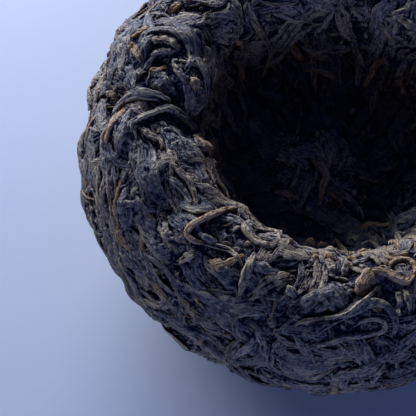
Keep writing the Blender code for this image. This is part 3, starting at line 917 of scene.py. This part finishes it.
def leaf_shape(skin, press, kind, batch, limit, draw):
    """Points, ridge heights and grain of a batch: a crowned section carried along each route.

    Over the top the section is lift + thickness * (1 - u^4)^0.6 + wrinkles, with u from -1 to 1 across.
    The wrinkles are cosines of u whose phase drifts along the leaf, so they wind round it as on a rolled
    leaf. Its width swells and narrows along the leaf, and its top rocks from side to side. The ridge
    height tells the material how light to paint a point: how far it stands over the pile's mean, as lower
    points are painted darker as painted shade, the wrinkles, and the edges, which are painted pale, partly
    as wear and partly as painted highlight, just inside a dark outline of painted shade.
    """
    leaves, stations = batch.azimuth.shape
    share = np.linspace(0, 1, stations)[None, :, None]

    def own(low, high):
        return draw.uniform(low, high, (leaves, 1, 1))

    over_top = np.sin(np.linspace(-math.pi / 2, math.pi / 2, kind.top_points))
    across = np.concatenate([over_top, np.linspace(0.6, -0.6, BOTTOM_POINTS)])
    is_top = np.arange(len(across)) < kind.top_points
    ends = kind.end_share * own(0.6, 1.3)
    taper = ends + (1 - ends) * np.sin(math.pi * share) ** own(0.4, 0.9)
    swell = 1 + 0.15 * np.sin(TURN * (own(0.8, 1.8) * share + own(0, 1))) + 0.08 * np.sin(
        TURN * (own(2.5, 4.5) * share + own(0, 1))
    )
    width = batch.half_width[:, None, None] * taper * swell
    azimuth, along = beside(skin, batch, across * width)
    body_height = np.where(is_top, crown(across), UNDERSIDE)
    body = batch.thickness[:, None, None] * (THIN_END + (1 - THIN_END) * taper)
    phase = math.pi + own(-0.9, 0.9) + own(-1.6, 1.6) * share
    wrinkles = math.pi * batch.half_width[:, None, None] / MM * across
    folds = np.cos(own(*WRINKLES) * wrinkles + phase)
    finer = np.cos(2.1 * own(*WRINKLES) * wrinkles + own(0, TURN) + own(-6, 6) * share)
    on_top = np.where(is_top, np.sqrt(np.maximum(body_height, 0)), 0)
    wrinkle = (0.8 * folds + 0.25 * finer) * on_top
    rock = kind.twist * np.sin(TURN * (own(0.4, 1.2) * share + own(0, 1))) * width * across
    place = skin.points(azimuth, along)
    rough = crumple(place, BUMPS, draw) * on_top
    lift = batch.lift[..., None] + body * body_height + kind.relief * (wrinkle + 0.55 * rough) + rock
    lift = pressed(lift, limit)
    shape = skin.points(azimuth, along, lift)
    grain = np.stack(np.broadcast_arrays(
        share * batch.length[:, None, None] / MM, across * width / MM, own(0, 900)
    ), axis=-1)
    middle = batch.lift[:, [0, -1]] + TIP_HEIGHT * batch.thickness[:, None]
    poles = skin.points(batch.azimuth[:, [0, -1]], batch.along[:, [0, -1]], pressed(middle, limit))
    # Points lower than the pile's mean round them are painted darker, as painted shade between the leaves.
    apart = np.clip((lift - press.mean_round(azimuth, along)) / STANDS_OUT, -1.1, 1.0)
    # The pale edge is partly wear and partly painted highlight; the dark outline at the very edge is
    # painted shade.
    edge_wear_light_and_shade = np.exp(-(((np.abs(across) - WORN_LIT_EDGE_AT) / WORN_LIT_EDGE_REACH) ** 2)) * is_top
    edge_wear_light_and_shade = edge_wear_light_and_shade - 0.9 * (np.abs(across) > OUTLINE_AT)
    ridge = 0.22 + 0.60 * apart + 0.20 * wrinkle + 0.08 * rough + 0.75 * edge_wear_light_and_shade
    return shape, poles, ridge, grain


def leaf_faces(leaves, stations, ring):
    """Triangles and bake UVs of a batch.

    A leaf's sides are a closed band and its ends are fans. Each leaf has a cell of its own in the square.
    """
    column = np.arange(ring)
    row = np.arange(stations - 1)[:, None]
    beside_column = (column + 1) % ring
    low, high = row * ring, (row + 1) * ring
    sides = np.stack([
        low + column, high + column, high + beside_column,
        low + column, high + beside_column, low + beside_column,
    ], axis=-1).reshape(-1, 3)
    last = (stations - 1) * ring
    first_pole = stations * ring
    start = np.stack([column, beside_column, np.full(ring, first_pole)], axis=-1)
    end = np.stack([last + beside_column, last + column, np.full(ring, first_pole + 1)], axis=-1)
    one = np.concatenate([sides, start, end])
    each = stations * ring + 2
    faces = (one[None] + np.arange(leaves)[:, None, None] * each).reshape(-1, 3)

    left, right = column / ring, (column + 1) / ring
    body = np.linspace(0.1, 0.9, stations)
    lower = np.broadcast_to(body[:-1, None], (stations - 1, ring))
    upper = np.broadcast_to(body[1:, None], (stations - 1, ring))
    left_all, right_all = np.broadcast_to(left, lower.shape), np.broadcast_to(right, lower.shape)
    sides_uv = np.stack([
        lower, left_all, upper, left_all, upper, right_all,
        lower, left_all, upper, right_all, lower, right_all,
    ], axis=-1).reshape(-1, 3, 2)
    tip = (left + right) / 2
    start_uv = np.stack([
        np.full(ring, 0.1), left, np.full(ring, 0.1), right, np.full(ring, 0.05), tip
    ], axis=-1).reshape(-1, 3, 2)
    end_uv = np.stack([
        np.full(ring, 0.9), right, np.full(ring, 0.9), left, np.full(ring, 0.95), tip
    ], axis=-1).reshape(-1, 3, 2)
    uv = np.concatenate([sides_uv, start_uv, end_uv]) * 0.92 + 0.04
    columns = math.ceil(math.sqrt(leaves))
    cell = np.stack([np.arange(leaves) % columns, np.arange(leaves) // columns], axis=-1)
    return faces, ((uv[None] + cell[:, None, None, :]) / columns).reshape(-1, 2)


def add_piece(name, points, faces, uvs, values, material, slot):
    """A mesh object from arrays, with bake UVs and named values for each point, riding on the cake."""
    mesh = bpy.data.meshes.new(name)
    mesh.vertices.add(len(points))
    mesh.vertices.foreach_set("co", points.astype(np.float32).ravel())
    mesh.loops.add(faces.size)
    mesh.loops.foreach_set("vertex_index", faces.astype(np.int32).ravel())
    mesh.polygons.add(len(faces))
    mesh.polygons.foreach_set("loop_start", np.arange(0, faces.size, 3, dtype=np.int32))
    mesh.update(calc_edges=True)
    layer = mesh.uv_layers.new(name="OFBake")
    layer.uv.foreach_set("vector", uvs.astype(np.float32).ravel())
    for key, value in values.items():
        vector = value.ndim == 2
        attribute = mesh.attributes.new(key, "FLOAT_VECTOR" if vector else "FLOAT", "POINT")
        attribute.data.foreach_set("vector" if vector else "value", value.astype(np.float32).ravel())
    mesh.shade_smooth()
    mesh.materials.append(material)
    piece = bpy.data.objects.new(name, mesh)
    bpy.context.scene.collection.objects.link(piece)
    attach(piece, BODY)
    return piece


def add_leaves(name, kind, material, slot):
    """Makes one kind's leaves from the finished pile."""
    skin, press, batches = laid_up()
    batch = batches[name]
    draw = np.random.default_rng([bpy.context.scene.tea_press.seed, len(name), kind.stations])
    limit = bpy.context.scene.tea_press.squeeze + kind.stand
    shape, poles, ridge, grain = leaf_shape(skin, press, kind, batch, limit, draw)
    leaves, stations, ring = shape.shape[:3]
    points = np.concatenate([shape.reshape(leaves, -1, 3), poles], axis=1).reshape(-1, 3)
    ridges = np.concatenate([ridge.reshape(leaves, -1), ridge[:, [0, -1], 0]], axis=1).ravel()
    end_grain = grain[:, [0, -1], 0]
    grains = np.concatenate([grain.reshape(leaves, -1, 3), end_grain], axis=1).reshape(-1, 3)
    faces, uvs = leaf_faces(leaves, stations, ring)
    each = stations * ring + 2
    values = {
        "ridge": ridges,
        "grain": grains,
        "tone": np.repeat(batch.tone, each),
        "warmth": np.repeat(batch.warmth, each),
    }
    return add_piece(name, points, faces, uvs, values, material, slot)


# The core's grid: columns round the cake and rows along the meridian, which stop this far from the poles.
CORE_GRID = (350, 270)
POLE_GAP = 0.5 * MM
# The height of the crumbs on the core, and how deep in the grooves its material takes it to be, which
# paints the core mostly with the grooves' painted shade.
CORE_RELIEF = 0.10 * MM
CORE_SHADE_RIDGE = -0.30
# How far the core's grain is stirred, and over what distance.
STIR = 0.8 * MM
STIR_LENGTH = 4 * MM


def add_core():
    """The crumbled mass between the leaves: a closed grid over the skin.

    It lies a little under the pile's mean height, with crumbs of two sizes on it. Its colour is mostly the
    grooves' painted shade.
    """
    skin, press, _ = laid_up()
    draw = np.random.default_rng(bpy.context.scene.tea_press.seed)
    columns, rows = CORE_GRID
    azimuths = np.linspace(0, TURN, columns, endpoint=False)
    alongs = np.linspace(POLE_GAP, skin.meridian - POLE_GAP, rows)
    azimuth, along = np.meshgrid(azimuths, alongs)
    place = skin.points(azimuth, along)
    relief = 0.6 * crumple(place, 2.2 * MM, draw) + 0.5 * crumple(place, 1.2 * MM, draw)
    lift = press.mean_round(azimuth, along) - CRUMB_DEPTH + CORE_RELIEF * relief
    points = skin.points(azimuth, along, lift).reshape(-1, 3)
    pole_along = np.array([0.0, skin.meridian])
    poles = skin.points(np.zeros(2), pole_along, lift[[0, -1]].mean(axis=1))
    foot, floor = len(points), len(points) + 1
    column = np.arange(columns)
    beside_column = (column + 1) % columns
    last = (rows - 1) * columns
    faces = np.concatenate([
        grid_faces(rows, columns),
        np.stack([np.full(columns, foot), beside_column, column], axis=-1),
        np.stack([np.full(columns, floor), last + column, last + beside_column], axis=-1),
    ])
    points = np.concatenate([points, poles])
    across = np.concatenate([np.tile(column / columns, rows), [0.5, 0.5]])
    up = np.concatenate([np.repeat(np.linspace(0.01, 0.99, rows), columns), [0.0, 1.0]])
    uv = np.stack([across[faces], up[faces]], axis=-1)
    wraps = np.ptp(uv[..., 0], axis=1) > 0.75
    uv[..., 0] = np.where(wraps[:, None] & (uv[..., 0] < 0.25), uv[..., 0] + 1, uv[..., 0])
    at_pole = faces >= foot
    uv[..., 0] = np.where(at_pole, uv[..., 0][:, [1]] + 0.5 / columns, uv[..., 0])
    uv[..., 0] = np.minimum(uv[..., 0], 1.0)
    stirred = STIR * np.stack([crumple(points, STIR_LENGTH, draw) for _ in range(3)], axis=-1)
    values = {
        "ridge": np.concatenate([(CORE_SHADE_RIDGE + 0.10 * relief).ravel(), [CORE_SHADE_RIDGE, CORE_SHADE_RIDGE]]),
        "grain": (points + stirred) / MM,
        "tone": 0.4 + 0.25 * crumple(points, 5 * MM, draw),
        "warmth": np.maximum(0.2 + 0.3 * crumple(points, 4 * MM, draw), 0),
    }
    piece = add_piece("pressed_core", points, faces, uv.reshape(-1, 2), values, dark_material(), DARK_SLOT)
    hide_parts(NODE)
    return piece


# The materials


def add_node(tree, kind, inputs=None, **settings):
    """Adds a node, with its settings, and gives each named input a value or a link."""
    made = tree.nodes.new(kind)
    for name, value in settings.items():
        setattr(made, name, value)
    for socket, value in (inputs or {}).items():
        if isinstance(value, bpy.types.NodeSocket):
            tree.links.new(value, made.inputs[socket])
        else:
            made.inputs[socket].default_value = value
    return made


def new_material(name):
    """A material with an empty node tree."""
    material = bpy.data.materials.new(name)
    material.use_nodes = True
    tree = material.node_tree
    tree.nodes.clear()
    return material, tree


# The folds for each millimetre along a leaf and across it.
FOLDS_PER_MM = (0.6, 2.3, 1.0)
# The sizes of the crumples between the folds, of the cracks and the stains, and of the worn patches.
CRUMPLES = 0.42 * MM
CRACKS = 1.3 * MM
STAINS = 2.8 * MM
WORN_PATCHES = 3.5 * MM
LEAF_IOR = 1.45
LEAF_ROUGHNESS = 0.62


def leaf_material(name, groove_shade, body, second, tinge, ridge, roughness, depth):
    """A dried leaf, rolled and pressed.

    Rolling folds a leaf into long wrinkles, about 0.4 mm apart: sharp crests along the grain, which are
    painted pale, partly as wear and partly as painted highlight, over grooves painted dark as shade.
    Crumples of the same width lie between them, and cracks run through both; their relief is painted
    lighter on its high points and darker in its low ones. Together they give the eye the streaked,
    bark-like skin. Down in the pile a leaf is painted as dark as its grooves, as painted shade, and only
    what stands out is faintly glossy. Brown stains lie in patches over the leaves.
    """
    material, tree = new_material(name)
    # What each point says of its leaf
    grain = add_node(tree, "ShaderNodeAttribute", attribute_name="grain").outputs["Vector"]
    tone = add_node(tree, "ShaderNodeAttribute", attribute_name="tone").outputs["Fac"]
    warmth = add_node(tree, "ShaderNodeAttribute", attribute_name="warmth").outputs["Fac"]
    height = add_node(tree, "ShaderNodeAttribute", attribute_name="ridge").outputs["Fac"]
    place = add_node(tree, "ShaderNodeTexCoord").outputs["Object"]
    # The relief: folds along the grain, crumples between them, and cracks cut into both
    stretched = add_node(tree, "ShaderNodeMapping", {"Vector": grain, "Scale": FOLDS_PER_MM}).outputs[0]
    folds = add_node(tree, "ShaderNodeTexNoise", {
        "Vector": stretched, "Scale": 1.0, "Detail": 1.2, "Roughness": 0.6, "Distortion": 0.9,
        "Offset": 1.0, "Gain": 1.6,
    }, noise_type="RIDGED_MULTIFRACTAL").outputs["Fac"]
    crumples = add_node(tree, "ShaderNodeTexNoise", {
        "Vector": place, "Scale": 1 / CRUMPLES, "Detail": 2.0, "Roughness": 0.6,
    }).outputs["Fac"]
    cracks = add_node(tree, "ShaderNodeTexNoise", {
        "Vector": place, "Scale": 1 / CRACKS, "Detail": 1.5, "Roughness": 0.6, "Distortion": 0.8,
        "Offset": 1.0, "Gain": 1.6,
    }, noise_type="RIDGED_MULTIFRACTAL").outputs["Fac"]
    fine = add_node(tree, "ShaderNodeMath", {0: crumples, 1: 2.1}, operation="MULTIPLY").outputs[0]
    folded = add_node(
        tree, "ShaderNodeMath", {0: folds, 1: 1.05, 2: fine}, operation="MULTIPLY_ADD"
    ).outputs[0]
    relief = add_node(
        tree, "ShaderNodeMath", {0: cracks, 1: -0.35, 2: folded}, operation="MULTIPLY_ADD"
    ).outputs[0]
    bump = add_node(tree, "ShaderNodeBump", {
        "Height": relief, "Strength": 1.0, "Distance": depth,
    }).outputs[0]
    # Painted shade: a point low in the pile or down in the grooves of its relief is painted dark, and its
    # relief is painted lighter on its high points and darker in its low ones, scaled by its leaf's tone
    depth_in_pile = add_node(
        tree, "ShaderNodeMath", {0: relief, 1: 0.45, 2: height}, operation="MULTIPLY_ADD"
    ).outputs[0]
    out_of_painted_shade = add_node(
        tree, "ShaderNodeMapRange", {"Value": depth_in_pile, "From Min": 0.36, "From Max": 0.87},
        interpolation_type="SMOOTHSTEP"
    ).outputs[0]
    # Painted light and shade on the relief: its high points are painted lighter, its low ones darker.
    relief_painted_light = add_node(tree, "ShaderNodeMapRange", {
        "Value": relief, "From Min": 1.0, "From Max": 2.4, "To Min": 0.34, "To Max": 1.12,
    }).outputs[0]
    # The leaf's own colour, with its stains, over the painted shade of the grooves
    mixed = add_node(
        tree, "ShaderNodeMix", {"Factor": warmth, 6: body, 7: second}, data_type="RGBA"
    ).outputs[2]
    stains = add_node(tree, "ShaderNodeTexNoise", {
        "Vector": place, "Scale": 1 / STAINS, "Detail": 2.0, "Roughness": 0.6,
    }).outputs["Color"]
    stained = add_node(
        tree, "ShaderNodeMapRange", {"Value": stains, "From Min": 0.50, "From Max": 0.68, "To Max": 0.55}
    ).outputs[0]
    hue = add_node(
        tree, "ShaderNodeMix", {"Factor": stained, 6: mixed, 7: tinge}, data_type="RGBA"
    ).outputs[2]
    # The leaf's tone as a brightness, with the painted light and shade that its place along the meridian
    # adds
    shade = add_node(tree, "ShaderNodeMapRange", {
        "Value": tone, "From Min": DARKEST, "To Min": 0.05, "To Max": 0.97,
    }).outputs[0]
    toned = add_node(tree, "ShaderNodeMath", {0: relief_painted_light, 1: shade}, operation="MULTIPLY").outputs[0]
    shown = add_node(
        tree, "ShaderNodeMath", {0: toned, 1: out_of_painted_shade}, operation="MULTIPLY"
    ).outputs[0]
    leaf = add_node(
        tree, "ShaderNodeMix", {"Factor": shown, 6: groove_shade, 7: hue}, data_type="RGBA"
    ).outputs[2]
    # Crests painted pale, partly as wear and partly as painted highlight, most of all on pale leaves
    # and in patches
    patches = add_node(tree, "ShaderNodeTexNoise", {
        "Vector": place, "Scale": 1 / WORN_PATCHES, "Detail": 2.0,
    }).outputs["Fac"]
    raised = add_node(tree, "ShaderNodeMath", {0: relief, 1: height}, operation="ADD").outputs[0]
    crest = add_node(
        tree, "ShaderNodeMapRange", {"Value": raised, "From Min": 2.05, "From Max": 2.60, "To Max": 0.7},
        interpolation_type="SMOOTHSTEP"
    ).outputs[0]
    rubbed = add_node(tree, "ShaderNodeMath", {0: tone, 1: patches}, operation="ADD").outputs[0]
    worn_and_highlit = add_node(
        tree, "ShaderNodeMath", {0: crest, 1: rubbed}, operation="MULTIPLY", use_clamp=True
    ).outputs[0]
    colour = add_node(
        tree, "ShaderNodeMix", {"Factor": worn_and_highlit, 6: leaf, 7: ridge}, data_type="RGBA"
    ).outputs[2]
    gloss = add_node(tree, "ShaderNodeMath", {0: out_of_painted_shade, 1: 0.5}, operation="MULTIPLY").outputs[0]
    shader = add_node(tree, "ShaderNodeBsdfPrincipled", {
        "Base Color": colour, "Roughness": roughness, "IOR": LEAF_IOR, "Specular IOR Level": gloss,
        "Normal": bump,
    })
    add_node(tree, "ShaderNodeOutputMaterial", {"Surface": shader.outputs[0]})
    return material


@functools.cache
def dark_material():
    """Ripe pu-erh leaf, fermented, rolled and steam pressed: near black, faintly satin on its crests.

    Its colour holds painted shade in its grooves and down the pile, and painted highlight on its crests.
    """
    colours = bpy.context.scene.tea_colours
    return leaf_material(
        "fermented_leaf_rolled_and_pressed", colours.groove_shade, colours.leaf, colours.leaf_brown,
        colours.tinge, colours.ridge, LEAF_ROUGHNESS, 0.12 * MM
    )


@functools.cache
def golden_material():
    """Tea buds and young stalks, dried: downy tan, painted lighter along their crests, partly as painted
    highlight.
    """
    colours = bpy.context.scene.tea_colours
    return leaf_material(
        "tea_bud_dried_and_pressed", colours.tinge, colours.golden, colours.golden,
        colours.leaf_brown, colours.golden_pale, LEAF_ROUGHNESS, 0.13 * MM
    )


def table_material():
    """A matt painted table top, smooth and pale."""
    material, tree = new_material("table_top_matt_paint")
    shader = add_node(tree, "ShaderNodeBsdfPrincipled", {
        "Base Color": bpy.context.scene.tea_colours.table, "Roughness": 0.6, "IOR": 1.45,
    })
    add_node(tree, "ShaderNodeOutputMaterial", {"Surface": shader.outputs[0]})
    return material


# The pieces and the stage


def add_light(name, light_place, colour):
    """A soft light with the outline of a window, turned to the cake from its place."""
    azimuth, rise, distance, width, height, power = light_place
    light = bpy.data.lights.new(name, "AREA")
    light.shape = "RECTANGLE"
    light.size = width
    light.size_y = height
    light.energy = power
    light.color = colour[:3]
    lamp = bpy.data.objects.new(name, light)
    turned, raised = math.radians(azimuth), math.radians(rise)
    level = math.cos(raised)
    place = distance * Vector((level * math.cos(turned), level * math.sin(turned), math.sin(raised)))
    lamp.matrix_world = Matrix.Translation(place) @ (-place).to_track_quat("-Z", "Y").to_matrix().to_4x4()
    bpy.context.scene.collection.objects.link(lamp)


class TEA_OT_core(bpy.types.Operator):
    """Makes the pressed core under the leaves"""

    bl_idname = "tea.core"
    bl_label = "Pressed core"

    def execute(self, context):
        add_core()
        return {"FINISHED"}


class TEA_OT_leaves(bpy.types.Operator):
    """Makes the dark leaves of every kind"""

    bl_idname = "tea.leaves"
    bl_label = "Dark leaves"

    def execute(self, context):
        for name, kind in KINDS.items():
            if kind.slot == DARK_SLOT:
                add_leaves(name, kind, dark_material(), kind.slot)
        return {"FINISHED"}


class TEA_OT_buds(bpy.types.Operator):
    """Makes the golden buds and the fine stalks"""

    bl_idname = "tea.buds"
    bl_label = "Golden buds and stalks"

    def execute(self, context):
        for name, kind in KINDS.items():
            if kind.slot == GOLDEN_SLOT:
                add_leaves(name, kind, golden_material(), kind.slot)
        return {"FINISHED"}


class TEA_OT_bold(bpy.types.Operator):
    """Makes the boldest leaves, placed as they show from the front"""

    bl_idname = "tea.bold"
    bl_label = "Bold leaves"

    def execute(self, context):
        add_leaves("bold_leaves", BOLD_KIND, dark_material(), DARK_SLOT)
        add_leaves("bold_buds", BOLD_KIND, golden_material(), GOLDEN_SLOT)
        return {"FINISHED"}


class TEA_OT_stage(bpy.types.Operator):
    """Makes the table, the daylight and the camera"""

    bl_idname = "tea.stage"
    bl_label = "Table, daylight and camera"

    def execute(self, context):
        colours = context.scene.tea_colours
        mesh = bpy.data.meshes.new("table_top")
        corners = [(x * TABLE_REACH, y * TABLE_REACH, 0) for x, y in ((-1, -1), (1, -1), (1, 1), (-1, 1))]
        mesh.from_pydata(corners, [], [(0, 1, 2, 3)])
        mesh.materials.append(table_material())
        table = bpy.data.objects.new("table_top", mesh)
        context.scene.collection.objects.link(table)
        world = bpy.data.worlds.new("soft_daylight")
        world.use_nodes = True
        background = world.node_tree.nodes["Background"]
        background.inputs["Color"].default_value = colours.sky
        background.inputs["Strength"].default_value = SKY_STRENGTH
        context.scene.world = world
        add_light("window", WINDOW_LIGHT, colours.window)
        add_light("fill", FILL_LIGHT, colours.fill)
        add_light("overhead", OVERHEAD_LIGHT, colours.sky)
        view = Camera()
        lens = bpy.data.cameras.new("camera")
        lens.sensor_width = 36
        lens.lens = CAMERA_FOCUS * lens.sensor_width / PHOTO_SIDE
        lens.clip_start = 0.01
        camera = bpy.data.objects.new("camera", lens)
        turned = Matrix(np.stack([view.right, view.up, -view.ahead], axis=1).tolist()).to_4x4()
        camera.matrix_world = Matrix.Translation(view.place) @ turned
        context.scene.collection.objects.link(camera)
        context.scene.camera = camera
        context.scene.view_settings.view_transform = "Standard"
        return {"FINISHED"}


class TEA_PT_panel(bpy.types.Panel):
    """The sizes, the colours and the pieces of the tea cake"""

    bl_idname = "TEA_PT_panel"
    bl_label = "Tea cake"
    bl_space_type = "VIEW_3D"
    bl_region_type = "UI"
    bl_category = "Tea cake"

    def draw(self, context):
        for title, group in (("Form", "tea_form"), ("Press", "tea_press"), ("Colours", "tea_colours")):
            box = self.layout.box()
            box.label(text=title)
            settings = getattr(context.scene, group)
            for name in type(settings).__annotations__:
                box.prop(settings, name)
        for operator in OPERATORS:
            self.layout.operator(operator.bl_idname)


OPERATORS = (TEA_OT_stage, TEA_OT_core, TEA_OT_leaves, TEA_OT_buds, TEA_OT_bold)
GROUPS = {"tea_form": TEA_PG_form, "tea_press": TEA_PG_press, "tea_colours": TEA_PG_colours}


def register():
    for item in (*GROUPS.values(), *OPERATORS, TEA_PT_panel):
        bpy.utils.register_class(item)
    for name, group in GROUPS.items():
        setattr(bpy.types.Scene, name, PointerProperty(type=group))


def unregister():
    for name in GROUPS:
        delattr(bpy.types.Scene, name)
    for item in reversed((*GROUPS.values(), *OPERATORS, TEA_PT_panel)):
        bpy.utils.unregister_class(item)


def main():
    register()
    bpy.ops.tea.stage()
    bpy.ops.tea.core()
    bpy.ops.tea.leaves()
    bpy.ops.tea.buds()
    bpy.ops.tea.bold()


if __name__ == "__main__":
    main()
